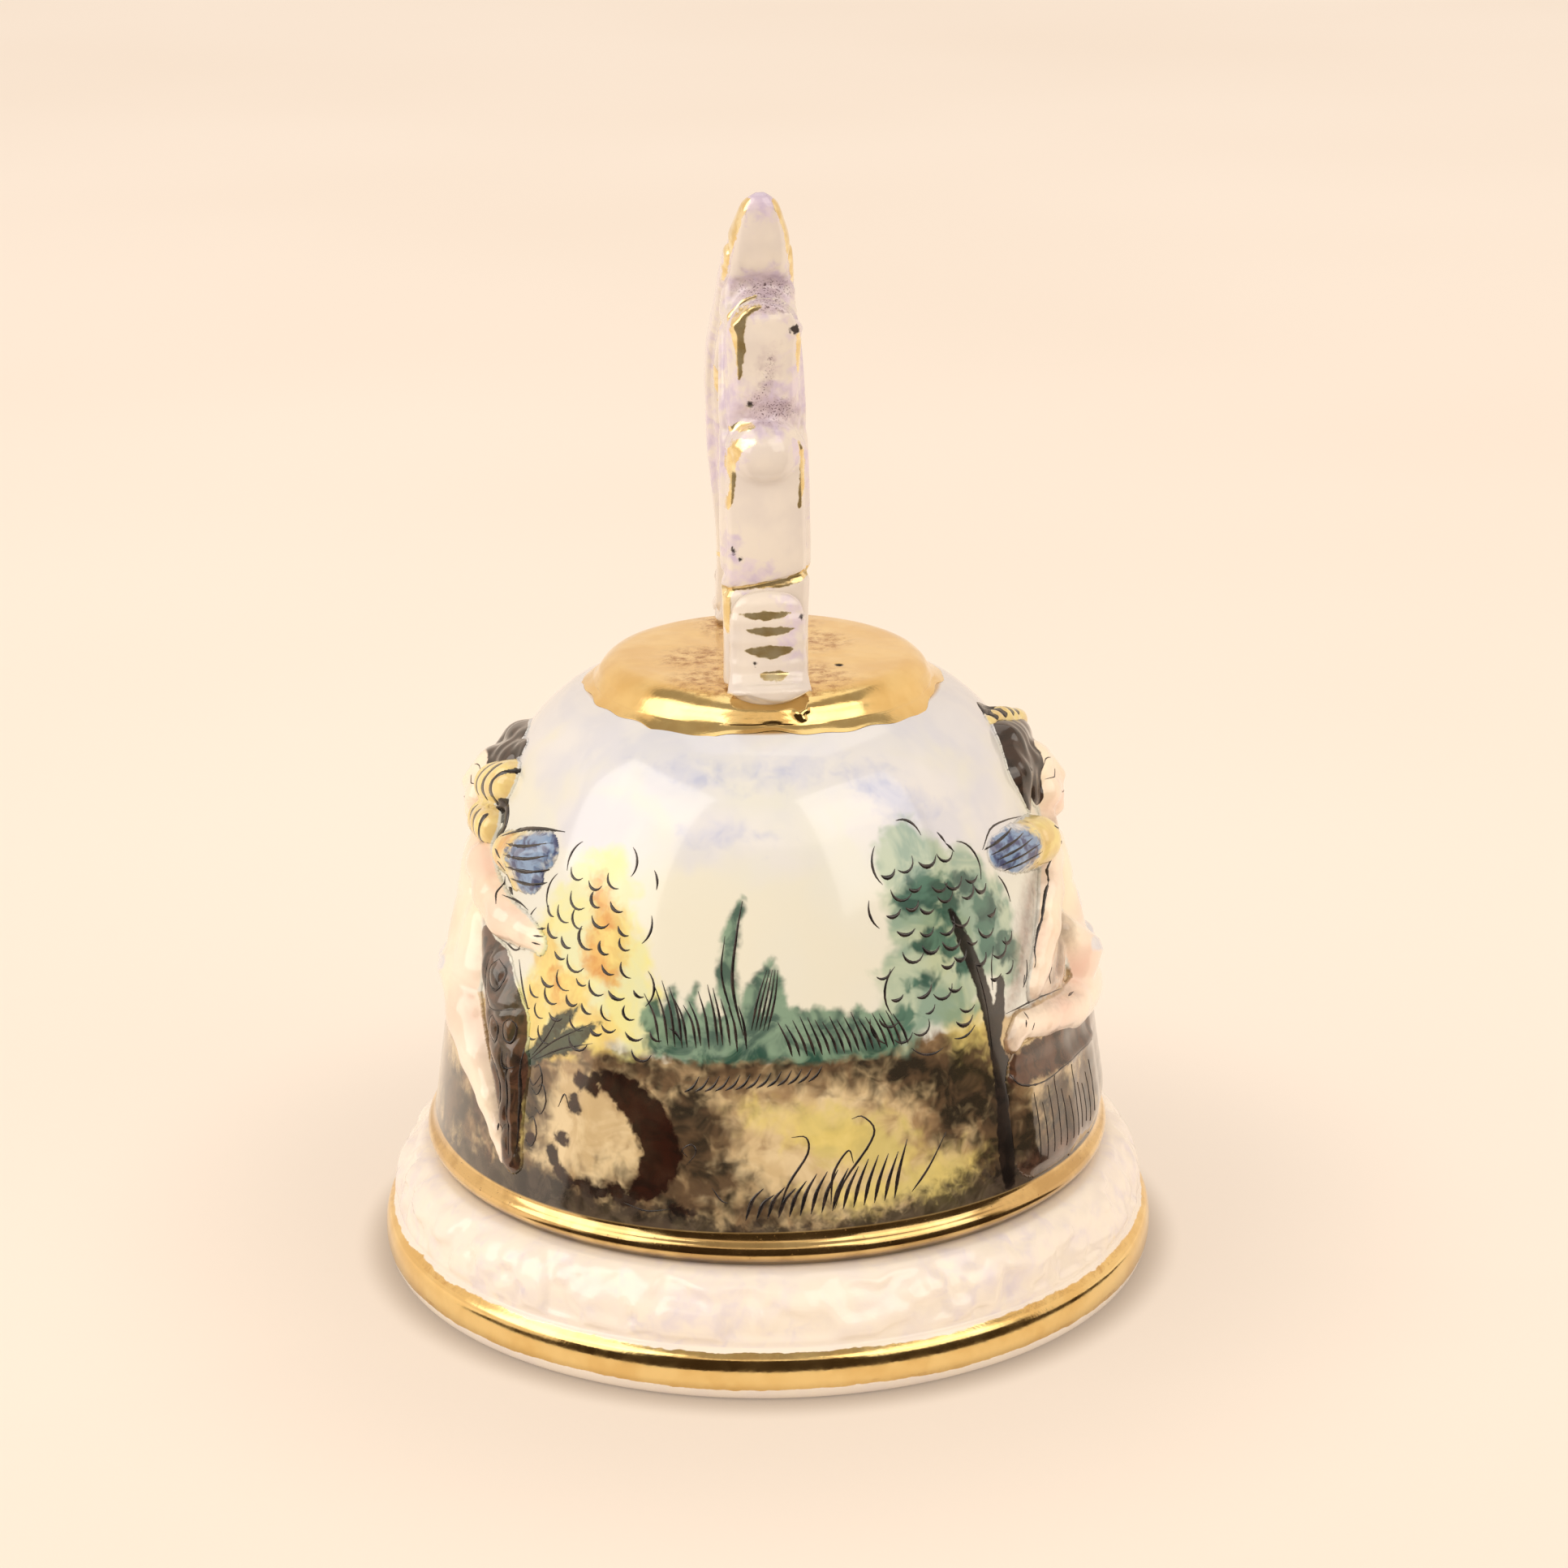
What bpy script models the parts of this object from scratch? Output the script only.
"""A porcelain hand bell with applied relief figures, a scrolled loop handle and a hanging clapper.

Frame: metres, +Z up, origin on the resting plane at the bell's axis. -Y is the front of the bell,
+X its right side. The loop handle stands in the front-to-back plane, turned a few degrees about Z.
"""
import math

import bmesh
import bpy
from mathutils import Matrix, Vector

MM = 0.001
GAP = 0.3 * MM

# Driving dimensions
FOOT_RADIUS = 50.0 * MM
FOOT_HEIGHT = 14.7 * MM
FOOT_BORE_RADIUS = 40.0 * MM
SHELL_RADIUS = 43.1 * MM
BEAD_RADIUS = 44.1 * MM
WALL_THICKNESS = 3.5 * MM
ROOF_THICKNESS = 3.0 * MM
ROOF_Z = 75.4 * MM
CROWN_RADIUS = 21.25 * MM
CROWN_HEIGHT = 3.3 * MM
HANDLE_TOP_Z = 138.4 * MM
HANDLE_REACH = 15.0 * MM
HANDLE_WIDTH = 10.8 * MM
HANDLE_OFFSET_X = -0.85 * MM
HANDLE_TURN = math.radians(4.8)

LUG_HOLE_Z = 66.2 * MM
LUG_HOLE_RADIUS = 1.8 * MM
LUG_RADIUS = 3.6 * MM
LUG_THICKNESS = 2.8 * MM
WIRE_RADIUS = 0.6 * MM
WIRE_PLAY = 0.3 * MM
RING_RADIUS = 3.4 * MM
LINK_RADIUS = 2.2 * MM
LINK_STRAIGHT = 3.0 * MM
EYE_RADIUS = 2.1 * MM
ROD_RADIUS = 0.8 * MM
BALL_RADIUS = 6.5 * MM
BALL_Z = 22.0 * MM

WIRE_STEP = 2 * WIRE_RADIUS + WIRE_PLAY
LINK_TOP_Z = LUG_HOLE_Z - 2 * RING_RADIUS + WIRE_STEP
LINK_BOTTOM_Z = LINK_TOP_Z - 2 * LINK_RADIUS - LINK_STRAIGHT
EYE_TOP_Z = LINK_BOTTOM_Z + WIRE_STEP

CROWN_Z = ROOF_Z + GAP
CROWN_TOP_Z = CROWN_Z + CROWN_HEIGHT
HANDLE_BASE_Z = CROWN_TOP_Z + GAP
SHELL_BASE_Z = FOOT_HEIGHT + GAP

# Points of the bell's outer wall above the gilt bead: radius and height
WALL_POINTS = [
    (SHELL_RADIUS, 18.6 * MM),
    (41.9 * MM, 27.0 * MM),
    (40.3 * MM, 37.5 * MM),
    (38.0 * MM, 48.5 * MM),
    (34.4 * MM, 60.0 * MM),
    (30.2 * MM, 68.3 * MM),
    (25.9 * MM, 72.9 * MM),
    (21.6 * MM, ROOF_Z),
]

SEGMENTS = 48


def clear_scene():
    for item in list(bpy.data.objects):
        bpy.data.objects.remove(item, do_unlink=True)


def make_material(name, colour, roughness, metallic=0.0):
    material = bpy.data.materials.new(name)
    material.use_nodes = True
    shader = material.node_tree.nodes["Principled BSDF"]
    shader.inputs["Base Color"].default_value = (*colour, 1.0)
    shader.inputs["Roughness"].default_value = roughness
    shader.inputs["Metallic"].default_value = metallic
    return material


def add_object(name, mesh, material=None, parent=None, origin=(0, 0, 0)):
    """Link a mesh whose points are in world metres, with its origin moved to the given point."""
    mesh.transform(Matrix.Translation(-Vector(origin)))
    item = bpy.data.objects.new(name, mesh)
    item.location = origin
    bpy.context.scene.collection.objects.link(item)
    if material:
        mesh.materials.append(material)
    if parent:
        bpy.context.view_layer.update()
        item.parent = parent
        item.matrix_parent_inverse = parent.matrix_world.inverted()
    mesh.shade_smooth()
    mesh.set_sharp_from_angle(angle=math.radians(40))
    return item


def mesh_from(name, points, faces):
    """A mesh with its faces turned outwards."""
    mesh = bpy.data.meshes.new(name)
    mesh.from_pydata(points, [], faces)
    work = bmesh.new()
    work.from_mesh(mesh)
    bmesh.ops.recalc_face_normals(work, faces=work.faces)
    work.to_mesh(mesh)
    work.free()
    return mesh


def smooth_through(points, count):
    """Catmull-Rom samples of a point list, end points included."""
    rows = [tuple(p) for p in points]
    first = tuple(2 * a - b for a, b in zip(rows[0], rows[1]))
    last = tuple(2 * a - b for a, b in zip(rows[-1], rows[-2]))
    rows = [first] + rows + [last]
    spans = len(rows) - 3
    samples = []
    for step in range(count):
        place = step / (count - 1) * spans
        span = min(int(place), spans - 1)
        t = place - span
        p0, p1, p2, p3 = rows[span:span + 4]
        samples.append(tuple(
            0.5 * (2 * b + (c - a) * t + (2 * a - 5 * b + 4 * c - d) * t * t
                   + (3 * b - a - 3 * c + d) * t ** 3)
            for a, b, c, d in zip(p0, p1, p2, p3)))
    return samples


def wall_radius(z):
    """Outer radius of the bell's wall at a height."""
    for (r0, z0), (r1, z1) in zip(WALL_SAMPLES, WALL_SAMPLES[1:]):
        if z <= z1:
            return r0 + (r1 - r0) * max(0.0, z - z0) / (z1 - z0)
    return WALL_SAMPLES[-1][0]


WALL_SAMPLES = smooth_through(WALL_POINTS, 40)


def turned(name, profile, segments=SEGMENTS, closed=True):
    """A turned solid. A closed profile is a ring section; an open one starts and ends on the axis."""
    points = []
    faces = []
    rows = []
    for radius, z in profile:
        if radius < 1e-9:
            rows.append([len(points)] * segments)
            points.append((0.0, 0.0, z))
            continue
        row = []
        for step in range(segments):
            angle = 2 * math.pi * step / segments
            row.append(len(points))
            points.append((radius * math.cos(angle), radius * math.sin(angle), z))
        rows.append(row)
    pairs = list(zip(rows, rows[1:]))
    if closed:
        pairs.append((rows[-1], rows[0]))
    for low, high in pairs:
        for step in range(segments):
            after = (step + 1) % segments
            corners = [low[step], low[after], high[after], high[step]]
            face = list(dict.fromkeys(corners))
            if len(face) > 2:
                faces.append(face)
    return mesh_from(name, points, faces)


def arc(centre_r, centre_z, radius, start, end, count):
    """Points of a circular arc in a turned profile, angles in degrees."""
    steps = [math.radians(start + (end - start) * i / (count - 1)) for i in range(count)]
    return [(centre_r + radius * math.cos(a), centre_z + radius * math.sin(a)) for a in steps]


def wall_cutter():
    """The bell's body, one gap larger, that the applied reliefs are hollowed by."""
    outline = [(0.0, SHELL_BASE_Z - 5 * MM), (BEAD_RADIUS + GAP, SHELL_BASE_Z - 5 * MM)]
    outline += [(BEAD_RADIUS + GAP, 17.0 * MM), (SHELL_RADIUS + 1.5 * GAP, 18.4 * MM)]
    outline += [(r + GAP, z) for r, z in WALL_SAMPLES[1::2]]
    outline += [(0.0, ROOF_Z + 2 * GAP)]
    item = add_object("wall_cutter", turned("wall_cutter", outline, 72, closed=False))
    return hide_cutter(item)


def hide_cutter(item):
    item.hide_render = True
    item.display_type = "WIRE"
    return item


def subtract(item, cutter):
    cut = item.modifiers.new("cut", "BOOLEAN")
    cut.operation = "DIFFERENCE"
    cut.object = cutter
    cut.solver = "EXACT"


# ---------------------------------------------------------------- bell body

def make_shell(parent):
    """The thrown dome: open at the mouth, with a bead at its foot and a flat roof for the crown."""
    bead_z = SHELL_BASE_Z + 1.7 * MM
    outside = [(FOOT_BORE_RADIUS + 0.6 * MM, SHELL_BASE_Z), (BEAD_RADIUS - 0.7 * MM, SHELL_BASE_Z)]
    outside += arc(BEAD_RADIUS - 1.3 * MM, bead_z, 1.3 * MM, -50, 50, 3)
    outside += smooth_through(WALL_POINTS, 11)
    inner_roof_z = ROOF_Z - ROOF_THICKNESS
    inside = [(0.0, inner_roof_z), (16.5 * MM, inner_roof_z)]
    for radius, z in reversed(smooth_through(WALL_POINTS, 9)[:-1]):
        inside.append((radius - WALL_THICKNESS, min(z, inner_roof_z - 0.6 * MM)))
    profile = outside + [(0.0, ROOF_Z)]
    points = profile + inside
    mesh = turned("bell_shell", points, closed=True)
    glaze = make_material("painted_glaze", (0.80, 0.80, 0.74), 0.12)
    return add_object("bell_shell", mesh, glaze, parent)


def make_foot(parent):
    """The heavy moulded foot: a white lip, a gilt band, a groove and a rounded textured ring."""
    outline = [
        (FOOT_BORE_RADIUS, 0.0),
        (FOOT_RADIUS - 1.2 * MM, 0.0),
        (FOOT_RADIUS - 0.1 * MM, 1.6 * MM),
        (FOOT_RADIUS, 2.6 * MM),
        (FOOT_RADIUS - 0.4 * MM, 5.4 * MM),
        (FOOT_RADIUS - 1.5 * MM, 6.4 * MM),
        (FOOT_RADIUS - 1.6 * MM, 8.2 * MM),
        (FOOT_RADIUS - 2.2 * MM, 10.8 * MM),
        (FOOT_RADIUS - 3.4 * MM, 13.0 * MM),
        (FOOT_RADIUS - 5.0 * MM, 14.3 * MM),
        (FOOT_RADIUS - 6.6 * MM, FOOT_HEIGHT),
        (FOOT_BORE_RADIUS, FOOT_HEIGHT),
    ]
    foot = make_material("foot_glaze", (0.82, 0.80, 0.84), 0.2)
    return add_object("foot_ring", turned("foot_ring", outline), foot, parent)


def make_crown(parent):
    """The gilt disc that closes the top, with a rolled rim."""
    edge = 2.4 * MM
    centre_z = CROWN_TOP_Z - edge - 0.15 * MM
    outline = [(0.0, CROWN_Z), (CROWN_RADIUS - 0.9 * MM, CROWN_Z)]
    outline += arc(CROWN_RADIUS - edge, centre_z, edge, -12, 82, 7)
    outline += [(CROWN_RADIUS - 5 * MM, CROWN_TOP_Z), (0.0, CROWN_TOP_Z)]
    gilt = make_material("crown_gilt", (0.72, 0.52, 0.20), 0.15, 1.0)
    return add_object("crown_cap", turned("crown_cap", outline, closed=False), gilt, parent)


# ---------------------------------------------------------------- handle

def swept(name, stations, count, sides=16, grow=0.0, squareness=2.6):
    """A bar along stations (y, z, width, thickness) in the handle's plane, with a rounded section."""
    samples = smooth_through(stations, count)
    points = []
    for index, (y, z, width, thickness) in enumerate(samples):
        before = samples[max(index - 1, 0)]
        after = samples[min(index + 1, count - 1)]
        along = Vector((0, after[0] - before[0], after[1] - before[1])).normalized()
        across = Vector((1, 0, 0)).cross(along)
        centre = Vector((0, y, z))
        if grow and index in (0, count - 1):
            centre += along * (grow if index else -grow)
        for step in range(sides):
            angle = 2 * math.pi * step / sides
            c, s = math.cos(angle), math.sin(angle)
            half_w = width / 2 + grow
            half_t = thickness / 2 + grow
            px = math.copysign(abs(c) ** (2 / squareness), c) * half_w
            pn = math.copysign(abs(s) ** (2 / squareness), s) * half_t
            point = centre + Vector((px, 0, 0)) + across * pn
            point.z = max(point.z, HANDLE_BASE_Z - 2 * grow)
            points.append(point)
    faces = []
    for index in range(count - 1):
        for step in range(sides):
            after = (step + 1) % sides
            low, high = index * sides, (index + 1) * sides
            faces.append([low + step, low + after, high + after, high + step])
    faces.append(list(range(sides)))
    faces.append([(count - 1) * sides + step for step in range(sides)])
    return mesh_from(name, points, faces)


def arch_stations():
    """The rear leg, rising from the crown and over to the raised front tip."""
    reach = HANDLE_REACH
    top = HANDLE_TOP_Z
    wide = HANDLE_WIDTH
    return [
        (reach - 0.2 * MM, HANDLE_BASE_Z, 0.80 * wide, 7.0 * MM),
        (reach - 0.4 * MM, top - 54 * MM, 0.72 * wide, 6.0 * MM),
        (reach - 1.6 * MM, top - 47 * MM, 0.74 * wide, 5.6 * MM),
        (reach + 0.6 * MM, top - 37 * MM, 0.88 * wide, 7.4 * MM),
        (reach - 0.4 * MM, top - 28 * MM, 0.94 * wide, 8.4 * MM),
        (reach - 6.6 * MM, top - 21 * MM, 0.94 * wide, 8.2 * MM),
        (-0.4 * MM, top - 15.5 * MM, 0.90 * wide, 8.6 * MM),
        (-8.0 * MM, top - 8.0 * MM, 0.78 * wide, 7.4 * MM),
        (-11.4 * MM, top - 2.0 * MM, 0.46 * wide, 3.8 * MM),
        (-12.2 * MM, top, 0.16 * wide, 1.0 * MM),
    ]


def front_stations():
    """The front leg, from its pad up to the underside of the arch."""
    reach = HANDLE_REACH
    top = HANDLE_TOP_Z
    wide = HANDLE_WIDTH
    return [
        (0.6 * MM - reach, HANDLE_BASE_Z, 0.98 * wide, 4.8 * MM),
        (0.4 * MM - reach, top - 54 * MM, 0.96 * wide, 4.6 * MM),
        (0.2 * MM - reach, top - 48 * MM, 0.98 * wide, 5.2 * MM),
        (0.2 * MM - reach, top - 42 * MM, 1.02 * wide, 7.0 * MM),
        (1.0 * MM - reach, top - 32 * MM, wide, 7.4 * MM),
        (3.2 * MM - reach, top - 23 * MM, 0.96 * wide, 7.4 * MM),
        (6.0 * MM - reach, top - 16 * MM, 0.90 * wide, 6.6 * MM),
        (8.6 * MM - reach, top - 11 * MM, 0.84 * wide, 6.0 * MM),
    ]


def leaf_stations():
    """The curled leaf on the front leg, from behind the knob to its forward tip."""
    reach = HANDLE_REACH
    top = HANDLE_TOP_Z
    wide = HANDLE_WIDTH
    return [
        (-reach - 0.2 * MM, top - 26.2 * MM, 0.60 * wide, 3.0 * MM),
        (-reach - 0.2 * MM, top - 24.0 * MM, 0.72 * wide, 4.6 * MM),
        (-reach + 0.4 * MM, top - 20.0 * MM, 0.80 * wide, 5.6 * MM),
        (-reach - 0.2 * MM, top - 15.5 * MM, 0.82 * wide, 5.8 * MM),
        (-reach - 1.4 * MM, top - 13.0 * MM, 0.60 * wide, 3.8 * MM),
        (-reach - 2.0 * MM, top - 12.2 * MM, 0.20 * wide, 1.2 * MM),
    ]


def make_handle(parent):
    """Two scrolls, a curled leaf, a ball knob and a pad under each leg, luted to the crown."""
    white = make_material("handle_glaze", (0.86, 0.83, 0.84), 0.12)
    cutters = {}
    for name, stations, count in (("arch", arch_stations(), 26), ("front", front_stations(), 18)):
        mesh = swept(name + "_cutter", stations, count, grow=GAP)
        cutters[name] = hide_cutter(add_object(name + "_cutter", mesh, None, parent))
    arch = add_object("handle_arch_scroll", swept("arch", arch_stations(), 26), white, parent)
    front = add_object("handle_front_scroll", swept("front", front_stations(), 18), white, parent)
    subtract(front, cutters["arch"])
    leaf = add_object("handle_curled_leaf", swept("leaf", leaf_stations(), 12), white, parent)
    subtract(leaf, cutters["front"])
    subtract(leaf, cutters["arch"])
    knob_z = HANDLE_TOP_Z - 30.4 * MM
    knob_y = -HANDLE_REACH - 2.4 * MM
    knob = turned("knob", arc(0, 0, 3.7 * MM, -90, 90, 11)[:], 20, closed=False)
    knob.transform(Matrix.Translation((0, knob_y, knob_z)))
    knob = add_object("handle_knob", knob, white, parent, (0, knob_y, knob_z))
    subtract(knob, cutters["front"])
    make_pads(parent, white, cutters)
    return arch


def make_pads(parent, white, cutters):
    """Round-topped pads that carry the legs on the crown, the front one with ribs across it."""
    for name, side, height, width, leg in (
            ("handle_front_pad", -1, 12.2 * MM, 9.4 * MM, "front"),
            ("handle_rear_pad", 1, 8.0 * MM, 7.6 * MM, "arch")):
        face_y = side * (HANDLE_REACH + 2.9 * MM)
        stations = [
            (face_y, HANDLE_BASE_Z, width * 1.14, 3.2 * MM),
            (face_y - side * 0.3 * MM, HANDLE_BASE_Z + 0.22 * height, width, 3.0 * MM),
            (face_y - side * 0.5 * MM, HANDLE_BASE_Z + 0.72 * height, 0.96 * width, 3.0 * MM),
            (face_y - side * 0.7 * MM, HANDLE_BASE_Z + 0.93 * height, 0.70 * width, 2.2 * MM),
            (face_y - side * 0.9 * MM, HANDLE_BASE_Z + height, 0.24 * width, 1.0 * MM),
        ]
        pad = add_object(name, swept(name, stations, 10), white, parent)
        subtract(pad, cutters[leg])


# ---------------------------------------------------------------- applied reliefs

def on_wall(azimuth, z, proud):
    """A point at an azimuth in degrees from the front towards the right, proud of the wall."""
    angle = math.radians(azimuth)
    radius = wall_radius(z) + proud
    return Vector((radius * math.sin(angle), -radius * math.cos(angle), z))


def capsule_into(work, start, end, radius_start, radius_end, rings=10, sides=14):
    """Add a round-ended tapered bar to a bmesh."""
    start = Vector(start)
    end = Vector(end)
    length = (end - start).length
    along = (end - start).normalized() if length > 1e-9 else Vector((0, 0, 1))
    turn = along.to_track_quat("Z", "Y").to_matrix()
    rows = []
    for index in range(1, rings):
        angle = -math.pi / 2 + math.pi * index / rings
        upper = index > rings / 2
        radius = radius_end if upper else radius_start
        height = radius * math.sin(angle) + (length if upper else 0.0)
        ring = radius * math.cos(angle)
        row = []
        for step in range(sides):
            spin = 2 * math.pi * step / sides
            local = Vector((ring * math.cos(spin), ring * math.sin(spin), height))
            row.append(work.verts.new(start + turn @ local))
        rows.append(row)
    for low, high in zip(rows, rows[1:]):
        for step in range(sides):
            after = (step + 1) % sides
            work.faces.new((low[step], low[after], high[after], high[step]))
    work.faces.new(list(reversed(rows[0])))
    work.faces.new(rows[-1])


def relief_mesh(name, bars, grow=0.0):
    """Bars are (azimuth, z, proud, radius) start and end, in degrees and millimetres."""
    work = bmesh.new()
    for bar in bars:
        a0, z0, p0, r0, a1, z1, p1, r1 = bar
        start = on_wall(a0, z0 * MM, p0 * MM)
        end = on_wall(a1, z1 * MM, p1 * MM)
        capsule_into(work, start, end, r0 * MM + grow, r1 * MM + grow)
    mesh = bpy.data.meshes.new(name)
    work.to_mesh(mesh)
    work.free()
    return mesh


def make_relief(name, bars, material, parent, cutters, keep):
    """One sprigged relief: its bars run together, smoothed, and hollowed to lie on the wall."""
    item = add_object(name, relief_mesh(name, bars), material, parent)
    blend = item.modifiers.new("run_together", "REMESH")
    blend.mode = "VOXEL"
    blend.voxel_size = 0.7 * MM
    soften = item.modifiers.new("soften", "SMOOTH")
    soften.factor = 0.5
    soften.iterations = 4
    thin = item.modifiers.new("thin", "DECIMATE")
    thin.ratio = keep
    for cutter in cutters:
        subtract(item, cutter)
    return item


def right_bars():
    """The seated figure on the right: body, wing, garland and the stump it sits on."""
    figure = [
        (84, 63.0, 0.6, 5.2, 84, 61.8, 0.4, 4.8),
        (84, 58.0, -0.6, 2.8, 83, 54.0, -1.4, 3.6),
        (75, 53.6, -0.8, 3.2, 91, 53.2, -1.0, 3.2),
        (82, 52.0, -1.8, 4.9, 83, 45.0, -1.8, 4.9),
        (83, 45.0, -1.8, 4.9, 82, 39.0, -1.4, 5.2),
        (74, 54.0, -0.2, 2.6, 65, 51.3, 0.0, 2.4),
        (65, 51.3, 0.0, 2.4, 57, 47.4, -0.2, 2.1),
        (57, 47.4, -0.2, 2.1, 52.5, 43.0, -0.4, 1.8),
        (52.5, 43.0, -0.4, 1.8, 52, 40.8, -0.4, 1.5),
        (92, 53.0, -0.6, 2.5, 99, 46.5, -0.4, 2.3),
        (99, 46.5, -0.4, 2.3, 96, 40.0, 0.4, 2.0),
        (76, 39.2, 0.0, 3.8, 87, 35.6, 0.6, 3.3),
        (87, 35.6, 0.6, 3.3, 70, 36.6, 0.2, 2.8),
        (70, 36.6, 0.2, 2.8, 54, 38.2, -0.2, 2.1),
        (54, 38.2, -0.2, 2.1, 47.5, 35.4, -0.4, 1.5),
        (90, 39.0, -0.4, 3.8, 101, 35.0, 0.2, 3.2),
        (101, 35.0, 0.2, 3.2, 102, 26.0, -0.2, 2.6),
        (102, 26.0, -0.2, 2.6, 98, 22.6, 0.0, 1.8),
    ]
    wing = [
        (67, 59.0, -0.4, 2.6, 60.0, 58.6, -0.6, 3.0),
        (60.0, 58.6, -0.6, 3.0, 53.5, 58.6, -0.9, 2.2),
    ]
    garland = [
        (74, 68.6, -0.2, 1.9, 82, 69.6, 0.6, 2.3),
        (82, 69.6, 0.6, 2.3, 92, 68.6, 0.6, 2.1),
    ]
    stump = [(a, z, -2.8, 4.9, a + 13, z, -2.8, 4.9) for z in (24.0, 28.2) for a in (52, 65, 78)]
    return figure, wing, garland, stump


def left_bars():
    """The standing figure on the left: body, wing, garland and the tree stump beside it."""
    figure = [
        (-81, 62.4, 0.4, 5.2, -81, 60.8, 0.4, 4.8),
        (-81, 57.5, -0.6, 2.8, -80, 54.0, -1.4, 3.6),
        (-73, 53.4, -0.8, 3.2, -88, 53.0, -1.0, 3.2),
        (-80, 52.0, -1.8, 5.0, -81, 45.0, -1.8, 4.9),
        (-81, 45.0, -1.8, 4.9, -78, 39.4, -1.4, 5.2),
        (-71, 53.8, -0.2, 2.7, -57, 50.4, 0.0, 2.5),
        (-57, 50.4, 0.0, 2.5, -49.5, 49.0, -0.3, 1.9),
        (-49.5, 49.0, -0.3, 1.9, -46.5, 48.4, -0.5, 1.3),
        (-90, 53.0, -0.6, 2.6, -98, 47.0, -0.4, 2.3),
        (-98, 47.0, -0.4, 2.3, -104, 42.0, -0.5, 1.7),
        (-71, 39.5, -0.6, 3.9, -60, 33.8, -0.4, 3.0),
        (-60, 33.8, -0.4, 3.0, -52, 26.0, -0.2, 2.0),
        (-52, 26.0, -0.2, 2.0, -49.5, 23.4, -0.2, 1.6),
        (-84, 38.0, -0.8, 4.0, -88, 30.0, -0.6, 3.2),
        (-88, 30.0, -0.6, 3.2, -90, 23.6, -0.2, 2.3),
        (-90, 23.6, -0.2, 2.3, -86, 22.0, 0.2, 1.7),
    ]
    wing = [
        (-66, 58.2, -0.4, 2.6, -59, 58.8, -0.6, 3.1),
        (-59, 58.8, -0.6, 3.1, -53, 60.4, -0.9, 2.4),
    ]
    garland = [
        (-73, 65.6, 1.2, 2.2, -72.5, 62.0, 2.4, 2.4),
        (-72.5, 62.0, 2.4, 2.4, -72.5, 57.6, 1.8, 2.0),
    ]
    stump = [
        (-59, 45.6, -1.4, 2.8, -54.5, 37.5, -1.6, 3.3),
        (-54.5, 37.5, -1.6, 3.3, -49.0, 29.0, -1.8, 3.7),
        (-49.0, 29.0, -1.8, 3.7, -46.0, 23.0, -2.0, 4.0),
    ]
    return figure, wing, garland, stump


def make_reliefs(parent):
    """Both applied groups. Each neighbour is cut back by one gap where two pieces meet."""
    wall = wall_cutter()
    colours = {
        "figure": ((0.86, 0.70, 0.58), 0.2, 0.13),
        "wing": ((0.62, 0.62, 0.38), 0.2, 0.22),
        "garland": ((0.48, 0.44, 0.16), 0.2, 0.18),
        "stump": ((0.17, 0.12, 0.10), 0.25, 0.12),
    }
    for side, (figure, wing, garland, stump) in (("right", right_bars()), ("left", left_bars())):
        grown = relief_mesh(side + "_figure_cutter", figure, grow=1.5 * GAP)
        body_cutter = hide_cutter(add_object(side + "_figure_cutter", grown))
        solid = body_cutter.modifiers.new("run_together", "REMESH")
        solid.mode = "VOXEL"
        solid.voxel_size = 0.9 * MM
        for piece, bars in (("figure", figure), ("wing", wing), ("garland", garland), ("stump", stump)):
            colour, roughness, keep = colours[piece]
            name = side + "_putto_" + piece
            cutters = [wall] if piece == "figure" else [wall, body_cutter]
            material = make_material(name, colour, roughness)
            make_relief(name, bars, material, parent, cutters, keep)


# ---------------------------------------------------------------- clapper train

def wire_loop(name, path, material, parent, origin, radius=WIRE_RADIUS, closed=True, sides=8):
    """Bent round wire along a list of points, as a mesh of constant section."""
    count = len(path)
    path = [Vector(p) for p in path]
    normal = (path[1] - path[0]).cross(path[count // 3] - path[0]).normalized()
    points = []
    for index, place in enumerate(path):
        before = path[index - 1] if closed or index else place
        after = path[(index + 1) % count] if closed or index < count - 1 else place
        along = (after - before).normalized()
        across = normal.cross(along)
        for step in range(sides):
            angle = 2 * math.pi * step / sides
            points.append(place + radius * (across * math.cos(angle) + normal * math.sin(angle)))
    faces = []
    for index in range(count if closed else count - 1):
        low = index * sides
        high = (index + 1) % count * sides
        for step in range(sides):
            after = (step + 1) % sides
            faces.append([low + step, low + after, high + after, high + step])
    if not closed:
        faces.append(list(range(sides)))
        faces.append([(count - 1) * sides + step for step in range(sides)])
    return add_object(name, mesh_from(name, points, faces), material, parent, origin)


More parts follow.
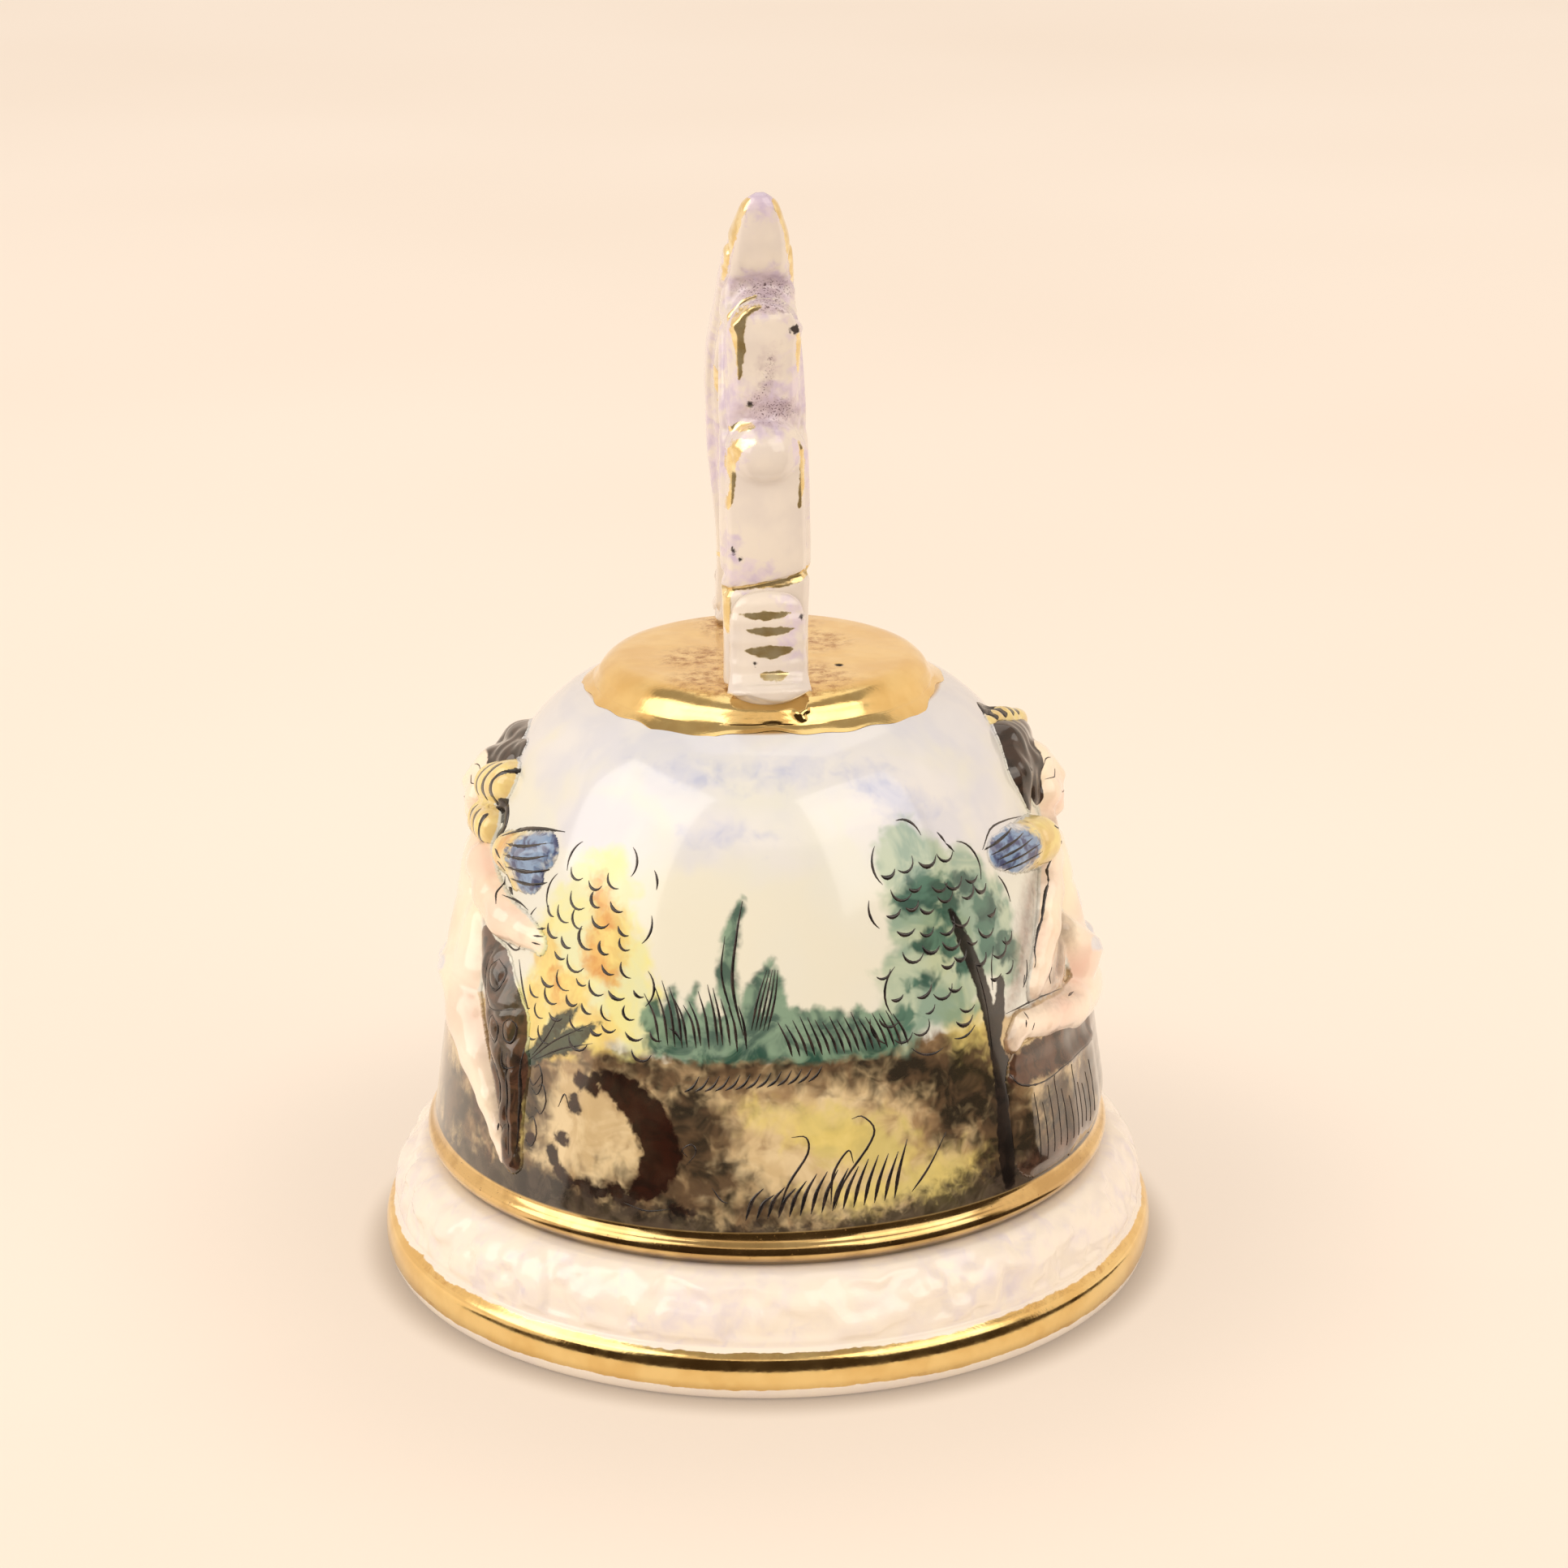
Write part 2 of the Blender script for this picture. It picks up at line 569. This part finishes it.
def make_lug(parent):
    """The pierced lug under the roof, a rounded tab with a hole across it."""
    top_z = ROOF_Z - ROOF_THICKNESS - GAP
    half = LUG_THICKNESS / 2
    outer = [(LUG_RADIUS, top_z)]
    outer += [(LUG_RADIUS * math.cos(a), LUG_HOLE_Z - LUG_RADIUS * math.sin(a))
              for a in [math.pi * i / 14 for i in range(15)]]
    outer += [(-LUG_RADIUS, top_z)]
    work = bmesh.new()
    face = work.faces.new([work.verts.new((-half, y, z)) for y, z in outer])
    push = bmesh.ops.extrude_face_region(work, geom=[face])
    moved = [v for v in push["geom"] if isinstance(v, bmesh.types.BMVert)]
    bmesh.ops.translate(work, verts=moved, vec=(LUG_THICKNESS, 0, 0))
    bmesh.ops.recalc_face_normals(work, faces=work.faces)
    mesh = bpy.data.meshes.new("hanger_lug")
    work.to_mesh(mesh)
    work.free()
    white = make_material("bisque", (0.84, 0.81, 0.76), 0.5)
    lug = add_object("hanger_lug", mesh, white, parent)
    drill = bmesh.new()
    bmesh.ops.create_cone(drill, cap_ends=True, segments=24, radius1=LUG_HOLE_RADIUS,
                          radius2=LUG_HOLE_RADIUS, depth=4 * LUG_THICKNESS)
    hole = bpy.data.meshes.new("lug_drill")
    drill.to_mesh(hole)
    drill.free()
    hole.transform(Matrix.Translation((0, 0, LUG_HOLE_Z)) @ Matrix.Rotation(math.pi / 2, 4, "Y"))
    subtract(lug, hide_cutter(add_object("lug_drill", hole)))
    return lug


def circle_path(centre_z, radius, count, plane, start=0.0, sweep=360.0):
    """Points round a centre on the axis, in the XZ or YZ plane, from the top."""
    path = []
    whole = sweep >= 360.0
    for index in range(count):
        turn = sweep * index / (count if whole else count - 1)
        angle = math.radians(start + turn)
        side = radius * math.sin(angle)
        height = centre_z + radius * math.cos(angle)
        path.append((side, 0, height) if plane == "XZ" else (0, side, height))
    return path


def make_chain(parent):
    """The ring through the lug, hinged on the lug's hole, and the oval link that hangs in it."""
    steel = make_material("chain_wire", (0.62, 0.58, 0.50), 0.3, 1.0)
    ring_path = circle_path(LUG_HOLE_Z - RING_RADIUS, RING_RADIUS, 28, "XZ")
    ring = wire_loop("hanger_ring", ring_path, steel, parent, (0, 0, LUG_HOLE_Z))
    upper = circle_path(LINK_TOP_Z - LINK_RADIUS, LINK_RADIUS, 11, "YZ", -90, 180)
    lower = circle_path(LINK_BOTTOM_Z + LINK_RADIUS, LINK_RADIUS, 11, "YZ", 90, 180)
    link = wire_loop("chain_link", upper + lower, steel, ring, (0, 0, LINK_TOP_Z))
    return ring, link


def make_clapper(parent):
    """The clapper rod with its bent eye, the collar that stops the ball, and the ball."""
    steel = make_material("clapper_wire", (0.62, 0.58, 0.50), 0.3, 1.0)
    brass = make_material("clapper_ball", (0.76, 0.72, 0.66), 0.25)
    pivot = (0, 0, EYE_TOP_Z)
    eye_z = EYE_TOP_Z - EYE_RADIUS
    rod_top = eye_z - EYE_RADIUS - 1.6 * MM
    loop = circle_path(eye_z, EYE_RADIUS, 22, "XZ", -164, 310)
    rod = wire_loop("clapper_rod", loop[::-1] + [(0, 0, rod_top), (0, 0, BALL_Z + 0.2 * BALL_RADIUS)],
                    steel, parent, pivot, radius=ROD_RADIUS, closed=False)
    bore = ROD_RADIUS + GAP
    lift = math.degrees(math.asin(bore / BALL_RADIUS))
    blind_z = BALL_Z + 0.2 * BALL_RADIUS - GAP
    outline = arc(0, BALL_Z, BALL_RADIUS, -90, 90 - lift, 14)
    outline[0] = (0.0, BALL_Z - BALL_RADIUS)
    outline += [(bore, blind_z), (0.0, blind_z)]
    ball = add_object("clapper_ball", turned("ball", outline, 28, closed=False), brass, rod, pivot)
    collar_z = BALL_Z + BALL_RADIUS + GAP
    collar = [(bore, collar_z), (1.9 * MM, collar_z), (1.9 * MM, collar_z + 1.6 * MM),
              (1.4 * MM, collar_z + 2.2 * MM), (bore, collar_z + 2.2 * MM)]
    add_object("clapper_collar", turned("collar", collar, 20), steel, rod, pivot)
    return ball


def build():
    clear_scene()
    bell = bpy.data.objects.new("bell", None)
    bpy.context.scene.collection.objects.link(bell)
    grip = bpy.data.objects.new("handle_frame", None)
    grip.location = (HANDLE_OFFSET_X, 0, 0)
    grip.rotation_euler = (0, 0, HANDLE_TURN)
    bpy.context.scene.collection.objects.link(grip)
    make_shell(bell)
    make_foot(bell)
    make_crown(bell)
    make_handle(None)
    for item in bpy.data.objects:
        if item.name.startswith(("handle_", "arch_", "front_")) and item is not grip:
            item.parent = grip
    make_reliefs(bell)
    make_lug(bell)
    ring, link = make_chain(None)
    make_clapper(link)
    ring.parent = bell


build()
